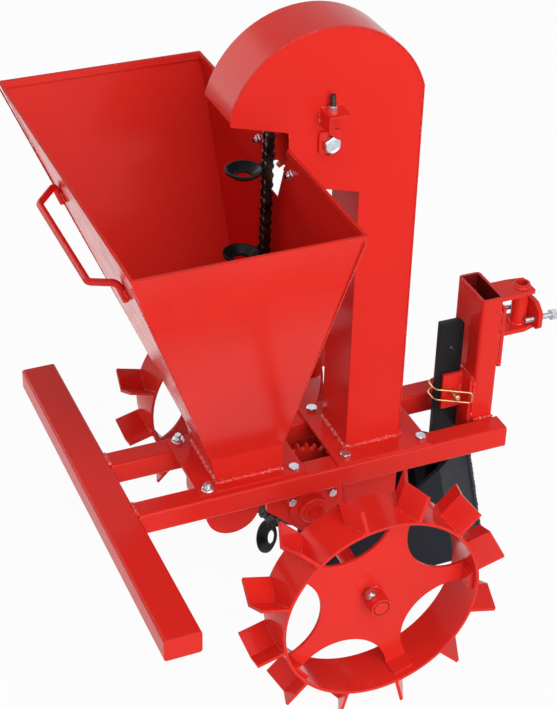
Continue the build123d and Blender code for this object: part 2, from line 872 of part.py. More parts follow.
with BuildPart() as outer_link:
    for face in (outer_inside, -outer_outside):
        with BuildSketch(Plane.XY.offset(face)):
            link_outline()
        extrude(amount=outer_plate)
    with BuildSketch(Plane.XY.offset(-outer_outside - outer_plate / 2)):
        with pin_spots():
            Circle(chain_pin_radius)
    extrude(amount=2 * outer_outside + outer_plate)

with BuildPart() as chain_inner_links:
    with Locations(*[link_place(link) for link in range(0, link_count, 2)]):
        add(inner_link.part)
write(chain_inner_links, "chain_inner_links")

with BuildPart() as chain_outer_links:
    with Locations(*[link_place(link) for link in range(1, link_count, 2)]):
        add(outer_link.part)
write(chain_outer_links, "chain_outer_links")

cup_top = cup_depth / 2
cup_near = cup_centre_reach - cup_radius
cup_hole_edge = cup_centre_reach - cup_hole_radius
with BuildPart() as cup:
    with BuildSketch(Plane.XY):
        Polygon((cup_top, cup_near), (cup_top, cup_near + cup_wall),
                (-cup_top + cup_wall, cup_hole_edge - cup_wall), (-cup_top + cup_wall, cup_hole_edge),
                (-cup_top, cup_hole_edge), (-cup_top, cup_hole_edge - 2 * cup_wall),
                (cup_top - cup_collar, cup_near), align=None)
    revolve(axis=Axis((0, cup_centre_reach, 0), (1, 0, 0)))
    fillet(cup.edges().filter_by(GeomType.CIRCLE).group_by(Axis.X)[-1], cup_wall / 3)
    with BuildSketch(Plane.XZ.offset(-link_end_radius)):
        with Locations((cup_top - cup_foot_length / 2, 0)):
            Rectangle(cup_foot_length, cup_foot_width)
    extrude(amount=-cup_foot)

cup_numbers = [first_cup_link + round(step * link_count / cup_count) for step in range(cup_count)]
with BuildPart() as seed_cups:
    with Locations(*[link_place(link) for link in cup_numbers]):
        add(cup.part)
write(seed_cups, "seed_cups")


def sprocket(x, z, bore, hub_half_length):
    """Toothed plate on a hub, with its first tooth gap square to the line of centres."""
    gap_radius = roller_radius + roller_seat_gap
    tip = pitch_radius + tooth_height
    gap_angle = degrees(chain_tilt)
    with BuildPart() as wheel:
        with BuildSketch(side_plane(sprocket_sheet / 2)):
            with Locations((x, z)):
                Circle(tip)
                with PolarLocations(pitch_radius, sprocket_teeth, start_angle=180.0 - gap_angle):
                    Circle(gap_radius, mode=Mode.SUBTRACT)
                    Polygon((0, -gap_radius), (2 * tooth_height, -tooth_gap_half),
                            (2 * tooth_height, tooth_gap_half), (0, gap_radius),
                            align=None, mode=Mode.SUBTRACT)
        extrude(amount=sprocket_sheet)
        with BuildSketch(side_plane(hub_half_length)):
            with Locations((x, z)):
                Circle(sprocket_hub_radius)
        extrude(amount=2 * hub_half_length)
        with BuildSketch(side_plane(hub_half_length)):
            with Locations((x, z)):
                Circle(bore)
        extrude(amount=2 * hub_half_length, mode=Mode.SUBTRACT)
    return wheel


tower_inner = tower_half_width - tower_sheet
drive_sprocket = sprocket(axle_x, axle_z, axle_radius, drive_hub_half_length)
write(drive_sprocket, "drive_sprocket")
top_sprocket = sprocket(top_shaft_x, top_shaft_z, shaft_radius + running_gap, tower_inner - slide_gap)
write(top_sprocket, "top_sprocket")

# Hopper shell, base flange, pick-up trough and handle

rim_z = above_beam(hopper_top)
flange_top = beam_top + flange_sheet
fold_z = flange_top + skirt_height
wall_lean = (fold_rear - hopper_rim_rear) / (rim_z - fold_z)
tie_bolt_spread = tower_half_width + tie_bolt_inset


def hopper_outline(z, rear, half_width, inset):
    """Rectangle of the hopper at a height, from its rear wall to its upright front wall."""
    length = hopper_front - rear - 2 * inset
    with BuildSketch(Plane.XY.offset(z)) as outline:
        with Locations((from_bar((rear + hopper_front) / 2), 0)):
            Rectangle(length, 2 * (half_width - inset))
    return outline.sketch


def hopper_solid(inset):
    """Skirt and flared walls of the hopper, drawn in from the outside by this much."""
    fold = hopper_outline(fold_z, fold_rear, throat_half_width, inset)
    with BuildPart() as solid:
        loft([hopper_outline(flange_top, throat_rear, throat_half_width, inset), fold])
        loft([fold, hopper_outline(rim_z, hopper_rim_rear, hopper_half_width, inset)])
    return solid.part


with BuildPart() as hopper_cavity:
    add(hopper_solid(hopper_sheet))
    split(bisect_by=Plane.XY.offset(rim_z - hem_height), keep=Keep.BOTTOM)
    add(hopper_solid(hopper_sheet + hem_width))

rim_fold = 2 * (hopper_sheet + hem_width)
notch_z = above_beam(notch_low)
tie_z = above_beam((tie_low + tie_high) / 2)
with BuildPart() as hopper_shell:
    add(hopper_solid(0))
    add(hopper_cavity.part, mode=Mode.SUBTRACT)
    with BuildSketch(Plane.YZ.offset(from_bar(hopper_front) - rim_fold)):
        Polygon((-notch_low_half_width, notch_z), (notch_low_half_width, notch_z),
                (notch_top_half_width, rim_z), (-notch_top_half_width, rim_z), align=None)
        with Locations((-tie_bolt_spread, tie_z), (tie_bolt_spread, tie_z)):
            Circle(small_hole)
    extrude(amount=2 * rim_fold, mode=Mode.SUBTRACT)
write(hopper_shell, "hopper_shell")

mouth_rear = throat_rear + hopper_sheet
mouth_front = hopper_front - hopper_sheet
trough_half_width = beam_inner - trough_gap
trough_inner_half = trough_half_width - trough_sheet
with BuildPart() as hopper_flange:
    with BuildSketch(Plane.XY.offset(beam_top)):
        with Locations((from_bar((flange_rear + flange_front) / 2), 0)):
            Rectangle(flange_front - flange_rear, 2 * flange_half_width)
        with Locations((from_bar((mouth_rear + mouth_front) / 2), 0)):
            Rectangle(mouth_front - mouth_rear, 2 * trough_inner_half, mode=Mode.SUBTRACT)
        with Locations(*[(x, side * beam_middle) for x in flange_bolt_xs for side in (-1, 1)]):
            Circle(bolt_radius + bolt_hole_gap, mode=Mode.SUBTRACT)
    extrude(amount=flange_sheet)
write(hopper_flange, "hopper_flange")

trough_x = from_bar(trough_axis_from_bar)
trough_z = above_beam(-trough_axis_drop)


def trough_section(radius, y):
    """U-shaped section of the trough at this Y, open at the top."""
    with BuildSketch(side_plane(y)) as section:
        with BuildLine():
            Polyline((trough_x - radius, trough_z), (trough_x - radius, beam_top),
                     (trough_x + radius, beam_top), (trough_x + radius, trough_z))
            ThreePointArc((trough_x + radius, trough_z), (trough_x, trough_z - radius),
                          (trough_x - radius, trough_z))
        make_face()
    return section.sketch


with BuildPart() as pickup_trough:
    extrude(trough_section(trough_radius, trough_half_width), amount=2 * trough_half_width)
    extrude(trough_section(trough_radius - trough_sheet, trough_inner_half),
            amount=2 * trough_inner_half, mode=Mode.SUBTRACT)
    with BuildSketch(Plane.XY.offset(beam_top)):
        with Locations((from_bar(cup_slot_rear) + trough_radius, 0)):
            Rectangle(2 * trough_radius, 2 * cup_slot_half_width)
    extrude(amount=-(trough_axis_drop + 2 * trough_radius), mode=Mode.SUBTRACT)
write(pickup_trough, "pickup_trough")

# The handle's two ends lie on the rear wall, pointing down its slope

wall_length = sqrt(1 + wall_lean ** 2)
handle_z = above_beam(handle_height)
handle_wall_x = from_bar(fold_rear) - (handle_z - fold_z) * wall_lean
handle_top_x = handle_wall_x - handle_radius * wall_length
handle_end_x = handle_top_x + handle_foot * wall_lean / wall_length
handle_end_z = handle_z - handle_foot / wall_length
handle_grip_x = handle_top_x - handle_reach
handle_grip_z = handle_z - handle_drop
handle_foot_y = handle_half_span + handle_splay

with BuildPart() as hopper_handle:
    with BuildLine() as handle_path:
        FilletPolyline(
            (handle_end_x, -handle_foot_y, handle_end_z),
            (handle_top_x, -handle_foot_y, handle_z),
            (handle_grip_x, -handle_half_span, handle_grip_z),
            (handle_grip_x, handle_half_span, handle_grip_z),
            (handle_top_x, handle_foot_y, handle_z),
            (handle_end_x, handle_foot_y, handle_end_z),
            radius=(handle_foot_bend, handle_bend, handle_bend, handle_foot_bend))
    with BuildSketch(Plane(handle_path.line @ 0, z_dir=handle_path.line % 0)):
        Circle(handle_radius)
    sweep()
write(hopper_handle, "hopper_handle")


def frame_bolts(xs, seat_z, nut_up):
    """Bolts through both beams at these X, with head and nut, standing on a plate at seat_z."""
    stub = hex_height + stud_tail if nut_up else 0
    spots = [(x, side * beam_middle) for x in xs for side in (-1, 1)]
    with BuildPart() as bolts:
        with Locations(*[seat(x, y, seat_z, (0, 0, 1)) for x, y in spots],
                       *[seat(x, y, beam_bottom, (0, 0, -1)) for x, y in spots]):
            add(hex_head(hex_across, hex_height))
        with BuildSketch(Plane.XY.offset(beam_bottom - hex_height - bolt_tail)):
            with Locations(*spots):
                Circle(bolt_radius)
        extrude(amount=seat_z + stub - beam_bottom + hex_height + bolt_tail)
    return bolts


hopper_rear_bolts = frame_bolts(flange_bolt_xs[:1], flange_top, True)
write(hopper_rear_bolts, "hopper_rear_bolts")
hopper_front_bolts = frame_bolts(flange_bolt_xs[1:], flange_top, False)
write(hopper_front_bolts, "hopper_front_bolts")
tower_bolts = frame_bolts(base_bolt_xs, beam_top + base_plate_sheet, False)
write(tower_bolts, "tower_bolts")

# Elevator tower: base plate, side plates, hood band and duct rear wall

base_top = beam_top + base_plate_sheet
band_inner = hood_radius - tower_sheet
hood_x = from_bar(hood_axis_from_bar)
hood_z = above_beam(hood_axis_height)
plate_front = from_bar(duct_front) - tower_sheet
plate_rear = from_bar(duct_rear)
tie_x = from_bar(hopper_front)
hood_rear_z = above_beam(hood_rear_height)


def hood_edge(radius, z=None, x=None):
    """Point of the hood's arc at this height on its rear side, or at this X on its front side."""
    if z is not None:
        return (hood_x - sqrt(radius ** 2 - (z - hood_z) ** 2), z)
    return (x, hood_z + sqrt(radius ** 2 - (x - hood_x) ** 2))


slope = sin(radians(plate_slope)) / cos(radians(plate_slope))
plate_rear_end = hood_edge(band_inner, z=hood_rear_z)
lip_end = (plate_rear_end[0], hood_rear_z - hood_lip)
throat_corner = (tie_x, lip_end[1] - (tie_x - lip_end[0]) * slope)
window_front = (plate_rear, above_beam(window_top))
window_rear = (tie_x, window_front[1] + (plate_rear - tie_x) * slope)
plate_arc_end = hood_edge(band_inner, x=plate_front)

with BuildPart() as base_plate:
    with BuildSketch(Plane.XY.offset(beam_top)):
        with Locations((from_bar((base_plate_rear + base_plate_front) / 2), 0)):
            Rectangle(base_plate_front - base_plate_rear, 2 * base_plate_half_width)
        with Locations(((plate_rear + tower_sheet + plate_front) / 2, 0)):
            Rectangle(plate_front - plate_rear - tower_sheet, 2 * tower_inner, mode=Mode.SUBTRACT)
        with Locations(*[(x, side * beam_middle) for x in base_bolt_xs for side in (-1, 1)]):
            Circle(bolt_radius + bolt_hole_gap, mode=Mode.SUBTRACT)
    extrude(amount=base_plate_sheet)
write(base_plate, "tower_base_plate")

slot_length = 2 * (shaft_radius + tension_travel + slide_gap)
slot_width = 2 * (shaft_radius + running_gap)

with BuildPart() as right_tower_plate:
    with BuildSketch(side_plane(-tower_inner)):
        with BuildLine():
            Polyline((plate_rear, base_top), (plate_front, base_top), plate_arc_end)
            ThreePointArc(plate_arc_end, (hood_x, hood_z + band_inner), plate_rear_end)
            Polyline(plate_rear_end, lip_end, throat_corner, window_rear, window_front,
                     (plate_rear, base_top))
        make_face()
        fillet(vertices().sort_by_distance(throat_corner)[0], mouth_corner)
        with Locations((top_shaft_x, top_shaft_z)):
            SlotOverall(slot_length, slot_width, rotation=90, mode=Mode.SUBTRACT)
    extrude(amount=tower_sheet)
    with BuildSketch(Plane.YZ.offset(tie_x)):
        with Locations((-tower_half_width - tie_tab / 2, tie_z)):
            Rectangle(tie_tab, tie_high - tie_low)
        with Locations((-tie_bolt_spread, tie_z)):
            Circle(small_hole, mode=Mode.SUBTRACT)
    extrude(amount=tower_sheet)
write(right_tower_plate, "right_tower_plate")

with BuildPart() as left_tower_plate:
    mirror(right_tower_plate.part, about=Plane.XZ)
write(left_tower_plate, "left_tower_plate")

band_rear_end = hood_edge(hood_radius, z=hood_rear_z)
band_front = from_bar(duct_front)
band_arc_end = hood_edge(hood_radius, x=band_front)
with BuildPart() as hood_band:
    with BuildSketch(side_plane(tower_half_width)):
        with BuildLine():
            Line((band_front, base_top), band_arc_end)
            ThreePointArc(band_arc_end, (hood_x, hood_z + hood_radius), band_rear_end)
            Line(band_rear_end, plate_rear_end)
            ThreePointArc(plate_rear_end, (hood_x, hood_z + band_inner), plate_arc_end)
            Polyline(plate_arc_end, (plate_front, base_top), (band_front, base_top))
        make_face()
    extrude(amount=2 * tower_half_width)
write(hood_band, "hood_band")

with BuildPart() as duct_rear_wall:
    with BuildSketch(Plane.YZ.offset(plate_rear)):
        with Locations((0, (base_top + window_front[1]) / 2)):
            Rectangle(2 * tower_inner, window_front[1] - base_top)
    extrude(amount=tower_sheet)
write(duct_rear_wall, "duct_rear_wall")

lower_duct_half_width = beam_inner - lower_duct_gap
lower_duct_inner_half = lower_duct_half_width - tower_sheet
with BuildPart() as lower_duct:
    with BuildSketch(Plane.XY.offset(beam_top)):
        with Locations(((plate_rear + band_front) / 2, 0)):
            Rectangle(band_front - plate_rear, 2 * lower_duct_half_width)
        with Locations(((plate_rear + plate_front) / 2, 0)):
            Rectangle(plate_front - plate_rear, 2 * lower_duct_inner_half, mode=Mode.SUBTRACT)
    extrude(amount=-lower_duct_length)
write(lower_duct, "lower_duct")

tie_nut_x = tie_x - hopper_sheet
with BuildPart() as tie_bolts:
    with Locations(seat(tie_nut_x, -tie_bolt_spread, tie_z, (-1, 0, 0)),
                   seat(tie_x + tower_sheet, -tie_bolt_spread, tie_z, (1, 0, 0))):
        add(hex_head(small_hex_across, small_hex_height))
    with BuildSketch(Plane.YZ.offset(tie_nut_x - small_hex_height - bolt_tail)):
        with Locations((-tie_bolt_spread, tie_z)):
            Circle(small_bolt_radius)
    extrude(amount=hopper_sheet + tower_sheet + small_hex_height + bolt_tail)
    mirror(about=Plane.XZ)
write(tie_bolts, "tie_bolts")

# Chain tensioner: the top shaft rides in slots and hangs from a threaded rod on each side

carrier_inner = tower_half_width + slide_gap
carrier_outer = carrier_inner + carrier_sheet
rod_y = carrier_outer + rod_radius
angle_z = top_shaft_z + angle_rise
angle_rear_x = top_shaft_x - angle_rear
rod_nut_z = angle_z + angle_sheet

with BuildPart() as top_shaft:
    with Locations(seat(top_shaft_x, -carrier_outer, top_shaft_z, (0, -1, 0)),
                   seat(top_shaft_x, carrier_outer, top_shaft_z, (0, 1, 0))):
        add(hex_head(shaft_head_across, shaft_head))
    with BuildSketch(side_plane(carrier_outer + shaft_head + bolt_tail)):
        with Locations((top_shaft_x, top_shaft_z)):
            Circle(shaft_radius)
    extrude(amount=2 * carrier_outer + shaft_head + bolt_tail)
write(top_shaft, "top_shaft_bolt")

with BuildPart() as shaft_carriers:
    with BuildSketch(side_plane(-carrier_inner)):
        with Locations((top_shaft_x, top_shaft_z + (carrier_high - carrier_low) / 2)):
            RectangleRounded(carrier_width, carrier_high + carrier_low, carrier_sheet)
        with Locations((top_shaft_x, top_shaft_z)):
            Circle(shaft_radius, mode=Mode.SUBTRACT)
    extrude(amount=carrier_sheet)
    mirror(about=Plane.XZ)
write(shaft_carriers, "shaft_carriers")

with BuildPart() as tension_rods:
    with BuildSketch(Plane.XY.offset(top_shaft_z + rod_low)):
        with Locations((top_shaft_x, -rod_y), (top_shaft_x, rod_y)):
            Circle(rod_radius)
    extrude(amount=rod_top - rod_low)
write(tension_rods, "tension_rods")

with BuildPart() as tension_angles:
    with BuildSketch(Plane.XY.offset(angle_z)):
        with Locations((angle_rear_x + angle_length / 2, -tower_half_width - angle_depth / 2)):
            Rectangle(angle_length, angle_depth)
        with Locations((top_shaft_x, -rod_y)):
            Circle(rod_radius + running_gap, mode=Mode.SUBTRACT)
    extrude(amount=angle_sheet)
    with BuildSketch(Plane.YZ.offset(angle_rear_x)):
        with Locations((-tower_half_width - angle_depth / 2, angle_z - angle_leg / 2)):
            Rectangle(angle_depth, angle_leg)
    extrude(amount=angle_sheet)
    mirror(about=Plane.XZ)
write(tension_angles, "tension_angles")

with BuildPart() as tension_nuts:
    with Locations((top_shaft_x, -rod_y, rod_nut_z), (top_shaft_x, rod_y, rod_nut_z)):
        add(hex_head(rod_nut_across, rod_nut_height))
    with BuildSketch(Plane.XY.offset(rod_nut_z)):
        with Locations((top_shaft_x, -rod_y), (top_shaft_x, rod_y)):
            Circle(rod_radius + running_gap)
    extrude(amount=rod_nut_height, mode=Mode.SUBTRACT)
write(tension_nuts, "tension_nuts")
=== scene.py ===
"""Potato planter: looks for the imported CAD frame. Metres, X forward, Y left, Z up."""
import json
import math
import random

import bpy
from mathutils import Matrix, Vector


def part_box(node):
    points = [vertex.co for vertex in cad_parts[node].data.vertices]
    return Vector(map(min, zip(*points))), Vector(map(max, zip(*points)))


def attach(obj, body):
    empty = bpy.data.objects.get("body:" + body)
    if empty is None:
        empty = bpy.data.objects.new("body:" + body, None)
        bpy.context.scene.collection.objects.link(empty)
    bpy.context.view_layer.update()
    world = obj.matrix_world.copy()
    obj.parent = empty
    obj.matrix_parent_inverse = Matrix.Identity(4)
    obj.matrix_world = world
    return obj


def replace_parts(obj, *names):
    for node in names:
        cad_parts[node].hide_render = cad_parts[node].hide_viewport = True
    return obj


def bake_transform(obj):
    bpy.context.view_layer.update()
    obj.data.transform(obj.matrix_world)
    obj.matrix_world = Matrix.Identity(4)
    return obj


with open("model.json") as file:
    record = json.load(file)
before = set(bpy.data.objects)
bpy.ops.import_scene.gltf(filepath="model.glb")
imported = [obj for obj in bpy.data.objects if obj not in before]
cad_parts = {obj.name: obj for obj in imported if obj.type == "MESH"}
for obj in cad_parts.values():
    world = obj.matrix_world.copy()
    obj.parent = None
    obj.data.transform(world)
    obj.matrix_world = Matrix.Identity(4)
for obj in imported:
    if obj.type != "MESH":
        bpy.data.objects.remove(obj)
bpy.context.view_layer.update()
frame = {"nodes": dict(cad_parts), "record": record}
nodes = frame["nodes"]
chance = random.Random(7)

MM = 0.001
SIDES = (-1, 1)
X_WAY, Y_WAY, Z_WAY = Vector((1, 0, 0)), Vector((0, 1, 0)), Vector((0, 0, 1))

# Colours: linear red, green and blue

RED = (0.80, 0.031, 0.021)
RED_SHADE = (0.73, 0.025, 0.018)
RED_WELD = (0.64, 0.020, 0.016)
PRIMER = (0.80, 0.58, 0.54)
# Pale weld specks: painted highlights
WELD_GLINT = (0.92, 0.34, 0.27)
# Dark greasy red: grease on the sprocket tooth edges, and painted shade in the hub's gap ring
GREASE_AND_SHADE_RED = (0.16, 0.010, 0.009)
# Dark red: painted shade inside the hitch post and in the hub's gap ring
PAINTED_SHADE_RED = (0.20, 0.012, 0.010)
BLACK = (0.007, 0.008, 0.010)
BLACK_WORN = (0.014, 0.015, 0.017)
SLATE = (0.018, 0.021, 0.029)
SLATE_WORN = (0.026, 0.029, 0.037)
OILED = (0.018, 0.017, 0.016)
OILED_BRIGHT = (0.10, 0.095, 0.09)
ZINC = (0.66, 0.69, 0.74)
ZINC_DULL = (0.50, 0.53, 0.57)
YELLOW = (0.74, 0.54, 0.25)
YELLOW_DULL = (0.54, 0.38, 0.22)
BRONZE = (0.55, 0.33, 0.13)
BRONZE_DULL = (0.34, 0.20, 0.09)


class Graph:
    """A material's node tree, with short calls for the nodes the finishes share."""

    def __init__(self, name):
        self.material = bpy.data.materials.new(name)
        self.material.use_nodes = True
        self.tree = self.material.node_tree
        self.shader = self.tree.nodes["Principled BSDF"]
        self.place = self.add("ShaderNodeTexCoord").outputs["Object"]

    def add(self, kind, **settings):
        node = self.tree.nodes.new(kind)
        for key, value in settings.items():
            setattr(node, key, value)
        return node

    def link(self, source, target):
        self.tree.links.new(source, target)

    def feed(self, source, socket):
        """Links a value to one of the shader's own inputs."""
        self.link(source, self.shader.inputs[socket])

    def noise(self, scale, detail=2.0, rough=0.5):
        node = self.add("ShaderNodeTexNoise")
        node.inputs["Scale"].default_value = scale
        node.inputs["Detail"].default_value = detail
        node.inputs["Roughness"].default_value = rough
        self.link(self.place, node.inputs["Vector"])
        return node.outputs["Fac"]

    def spread(self, value, low, high, to_low=0.0, to_high=1.0):
        """Maps low..high to to_low..to_high and holds the value at both ends."""
        node = self.add("ShaderNodeMapRange")
        self.link(value, node.inputs["Value"])
        limits = (("From Min", low), ("From Max", high), ("To Min", to_low), ("To Max", to_high))
        for key, number in limits:
            node.inputs[key].default_value = number
        return node.outputs["Result"]

    def times(self, a, b):
        node = self.add("ShaderNodeMath", operation="MULTIPLY")
        self.link(a, node.inputs[0])
        self.link(b, node.inputs[1])
        return node.outputs["Value"]

    def within_tube(self, centre, half_x, half_y):
        """1 inside an upright tube's walls, 0 on and outside them."""
        offset = self.add("ShaderNodeVectorMath", operation="SUBTRACT")
        self.link(self.place, offset.inputs[0])
        offset.inputs[1].default_value = centre
        size = self.add("ShaderNodeVectorMath", operation="ABSOLUTE")
        self.link(offset.outputs["Vector"], size.inputs[0])
        parts = self.add("ShaderNodeSeparateXYZ")
        self.link(size.outputs["Vector"], parts.inputs["Vector"])
        outside, inside = 0.4 * MM, 0.1 * MM
        across = self.spread(parts.outputs["X"], half_x + outside, half_x + inside)
        along = self.spread(parts.outputs["Y"], half_y + outside, half_y + inside)
        return self.times(across, along)

    def mix(self, share, a, b):
        node = self.add("ShaderNodeMix", data_type="RGBA")
        self.link(share, node.inputs["Factor"])
        for key, value in (("A", a), ("B", b)):
            socket = [s for s in node.inputs if s.name == key and s.type == "RGBA"][0]
            if isinstance(value, tuple):
                socket.default_value = (*value, 1.0)
            else:
                self.link(value, socket)
        return [s for s in node.outputs if s.type == "RGBA"][0]

    def bump(self, height, distance, strength, normal=None):
        node = self.add("ShaderNodeBump")
        node.inputs["Distance"].default_value = distance
        node.inputs["Strength"].default_value = strength
        self.link(height, node.inputs["Height"])
        if normal is not None:
            self.link(normal, node.inputs["Normal"])
        return node.outputs["Normal"]

    def soft_edge(self, radius):
        node = self.add("ShaderNodeBevel", samples=6)
        node.inputs["Radius"].default_value = radius
        return node.outputs["Normal"]

    def edge_share(self, rounded):
        """1 at an outer or inner edge, falling to 0 on the flat."""
        flat = self.add("ShaderNodeNewGeometry").outputs["Normal"]
        dot = self.add("ShaderNodeVectorMath", operation="DOT_PRODUCT")
        self.link(rounded, dot.inputs[0])
        self.link(flat, dot.inputs[1])
        return self.spread(dot.outputs["Value"], 0.97, 0.80)


PAINT_EDGE, METAL_EDGE = 1.2 * MM, 0.5 * MM


def paint(name, colour, shade, chip, roughness, gloss, tube=None):
    """Sprayed paint: colour drift, orange peel, softened edges with small chips, and painted shade inside
    a tube.
    """
    g = Graph(name)
    drift = g.spread(g.noise(4.0, detail=1.0), 0.30, 0.75)
    colour_out = g.mix(drift, colour, shade)
    if tube is not None:
        # Painted shade: the inside of the tube is darkened
        colour_out = g.mix(g.within_tube(*tube), colour_out, PAINTED_SHADE_RED)
    rounded = g.soft_edge(PAINT_EDGE)
    specks = g.spread(g.noise(160.0, detail=3.0, rough=0.6), 0.62, 0.66)
    patches = g.spread(g.noise(19.0), 0.54, 0.66)
    chips = g.times(g.times(g.edge_share(rounded), specks), patches)
    g.feed(g.mix(chips, colour_out, chip), "Base Color")
    smears = g.noise(40.0, detail=3.0)
    g.feed(g.spread(smears, 0.3, 0.7, roughness - 0.04, roughness + 0.06), "Roughness")
    g.shader.inputs["Specular IOR Level"].default_value = gloss
    wave = g.bump(g.noise(14.0, detail=1.0), 3.0 * MM, 0.10, rounded)
    g.feed(g.bump(g.noise(430.0), 0.2 * MM, 0.07, wave), "Normal")
    return g.material


def metal(name, colour, dull, roughness, scale):
    """Bare or plated metal: blotches of dullness and fine surface grain."""
    g = Graph(name)
    blotches = g.spread(g.noise(scale, detail=5.0, rough=0.6), 0.36, 0.68)
    g.feed(g.mix(blotches, colour, dull), "Base Color")
    g.shader.inputs["Metallic"].default_value = 1.0
    smears = g.noise(scale * 3.1, detail=3.0)
    g.feed(g.spread(smears, 0.3, 0.7, roughness - 0.07, roughness + 0.1), "Roughness")
    g.feed(g.bump(g.noise(900.0), 0.12 * MM, 0.20, g.soft_edge(METAL_EDGE)), "Normal")
    return g.material


def weld_paint(name, colour, shade, glint, glint_level, roughness, gloss):
    """Paint over a weld: lumpy and blotched, with pale specks of painted highlight where the noise passes
    the given level.
    """
    g = Graph(name)
    blotch = g.mix(g.spread(g.noise(120.0, detail=3.0), 0.4, 0.65), colour, shade)
    # The specks are painted highlights that stand for glints on the weld's lumps
    specks = g.spread(g.noise(210.0, rough=0.6), glint_level, glint_level + 0.06)
    g.feed(g.mix(specks, blotch, glint), "Base Color")
    g.feed(g.spread(g.noise(90.0), 0.3, 0.7, roughness - 0.06, roughness + 0.12), "Roughness")
    g.shader.inputs["Specular IOR Level"].default_value = gloss
    lumps = g.bump(g.noise(140.0), 3.0 * MM, 0.6)
    g.feed(g.bump(g.noise(500.0, detail=3.0), 0.6 * MM, 0.5, lumps), "Normal")
    return g.material


# Finishes: roughness and gloss for paint, roughness and grain scale for metal

finishes = {
    "red_paint": paint("red_paint", RED, RED_SHADE, PRIMER, 0.18, 0.12),
    "black_paint": paint("black_paint", BLACK, BLACK_WORN, OILED_BRIGHT, 0.34, 0.13),
    "slate_paint": paint("slate_paint", SLATE, SLATE_WORN, ZINC_DULL, 0.38, 0.05),
    "oiled_steel": metal("oiled_steel", OILED, OILED_BRIGHT, 0.40, 60.0),
    "zinc": metal("zinc", ZINC, ZINC_DULL, 0.26, 120.0),
    "yellow_zinc": metal("yellow_zinc", YELLOW, YELLOW_DULL, 0.32, 90.0),
    "bronze": metal("bronze", BRONZE, BRONZE_DULL, 0.38, 80.0),
}
welds = {
    # The pale specks on every weld, the slate weld's grey ones too, are painted highlights
    "red_paint": weld_paint("red_weld", RED, RED_WELD, WELD_GLINT, 0.62, 0.26, 0.40),
    "red_seam": weld_paint("red_seam", RED_SHADE, RED_WELD, WELD_GLINT, 0.66, 0.26, 0.25),
    "slate_paint": weld_paint("slate_weld", SLATE, SLATE_WORN, OILED_BRIGHT, 0.66, 0.40, 0.35),
}
sheet_red = paint("sheet_red", RED, RED_SHADE, PRIMER, 0.18, 0.05)
sprocket_red = paint("sprocket_red", RED, RED_WELD, GREASE_AND_SHADE_RED, 0.26, 0.15)
# Painted shade: a dark ring that stands for the shaded gap between axle and hub
gap_shade_red = paint("gap_shade_red", GREASE_AND_SHADE_RED, PAINTED_SHADE_RED, GREASE_AND_SHADE_RED, 0.34, 0.15)

# The hitch post's inside is darkened with painted shade
POST_WALL = 5.0 * MM
post_low, post_high = (Vector(corner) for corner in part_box("hitch_post"))
post_half = (post_high - post_low) / 2 - Vector((POST_WALL, POST_WALL, 0.0))
post_tube = ((post_low + post_high) / 2, post_half.x, post_half.y)
post_red = paint("post_red", RED, RED_SHADE, PRIMER, 0.18, 0.12, tube=post_tube)

own_finish = {
    "drive_sprocket": sprocket_red,
    "top_sprocket": sprocket_red,
    "hopper_shell": sheet_red,
    "left_tower_plate": sheet_red,
    "right_tower_plate": sheet_red,
    "duct_rear_wall": sheet_red,
    "hitch_post": post_red,
}
slot_of = {entry["node"]: entry["material_slot"] for entry in frame["record"]["subparts"]}
for name, piece in nodes.items():
    piece.data.materials.clear()
    piece.data.materials.append(own_finish.get(name, finishes[slot_of[name]]))

# Measuring frame: millimetres forward of the rear bar's rear face, left of the middle, above the beams


def middle_of(node):
    low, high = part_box(node)
    return (Vector(low) + Vector(high)) / 2


BAR_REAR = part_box("rear_bar")[0][0]
BEAM_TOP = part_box("right_beam")[1][2]
AXLE = middle_of("axle")
SHAFT = middle_of("top_sprocket")


def at(x, y, z):
    return Vector((BAR_REAR + x * MM, y * MM, BEAM_TOP + z * MM))


def along(x0, x1, y, z):
    return [at(x0, y, z), at(x1, y, z)]


def across(x, y0, y1, z):
    return [at(x, y0, z), at(x, y1, z)]


def upright(x, y, z0, z1):
    return [at(x, y, z0), at(x, y, z1)]


def level_ring(rear, front, half, z):
    return along(rear, front, -half, z) + along(front, rear, half, z)


def arc(centre, radius, start, end, count, across_way, up_way):
    """Points round a circle that lies in the plane of two unit vectors."""
    turns = [start + (end - start) * i / count for i in range(count + 1)]
    return [centre + across_way * math.cos(t) * radius + up_way * math.sin(t) * radius for t in turns]


def circle(centre, radius, count, across_way, up_way):
    return arc(centre, radius, 0, math.tau, count, across_way, up_way)[:-1]


class Shape:
    """Points and faces gathered from several parts, made into one piece."""

    def __init__(self):
        self.points = []
        self.faces = []

    def skin(self, rings, closed=False):
        """Joins a run of rings that have the same number of points, and caps its ends."""
        start, count, total = len(self.points), len(rings[0]), len(rings)
        for ring in rings:
            self.points.extend(ring)
        for i in range(total if closed else total - 1):
            a, b = start + i * count, start + (i + 1) % total * count
            for j in range(count):
                k = (j + 1) % count
                self.faces.append((a + j, a + k, b + k, b + j))
        if not closed:
            last = start + (total - 1) * count
            self.faces.append(tuple(range(start, start + count))[::-1])
            self.faces.append(tuple(range(last, last + count)))

    def piece(self, name, body, slot, material=None, crease=None):
        """Makes the gathered shape an object that rides on a body."""
        mesh = bpy.data.meshes.new(name)
        mesh.from_pydata(self.points, [], self.faces)
        mesh.update()
        mesh.shade_smooth()
        if crease is not None:
            mesh.set_sharp_from_angle(angle=math.radians(crease))
        made = bpy.data.objects.new(name, mesh)
        bpy.context.scene.collection.objects.link(made)
        mesh.materials.append(material or finishes[slot])
        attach(made, body)
        return made


def basis(direction):
    """Two unit vectors square to a direction and to each other."""
    helper = Z_WAY if abs(direction.z) < 0.9 else X_WAY
    side = direction.cross(helper).normalized()
    return side, direction.cross(side).normalized()


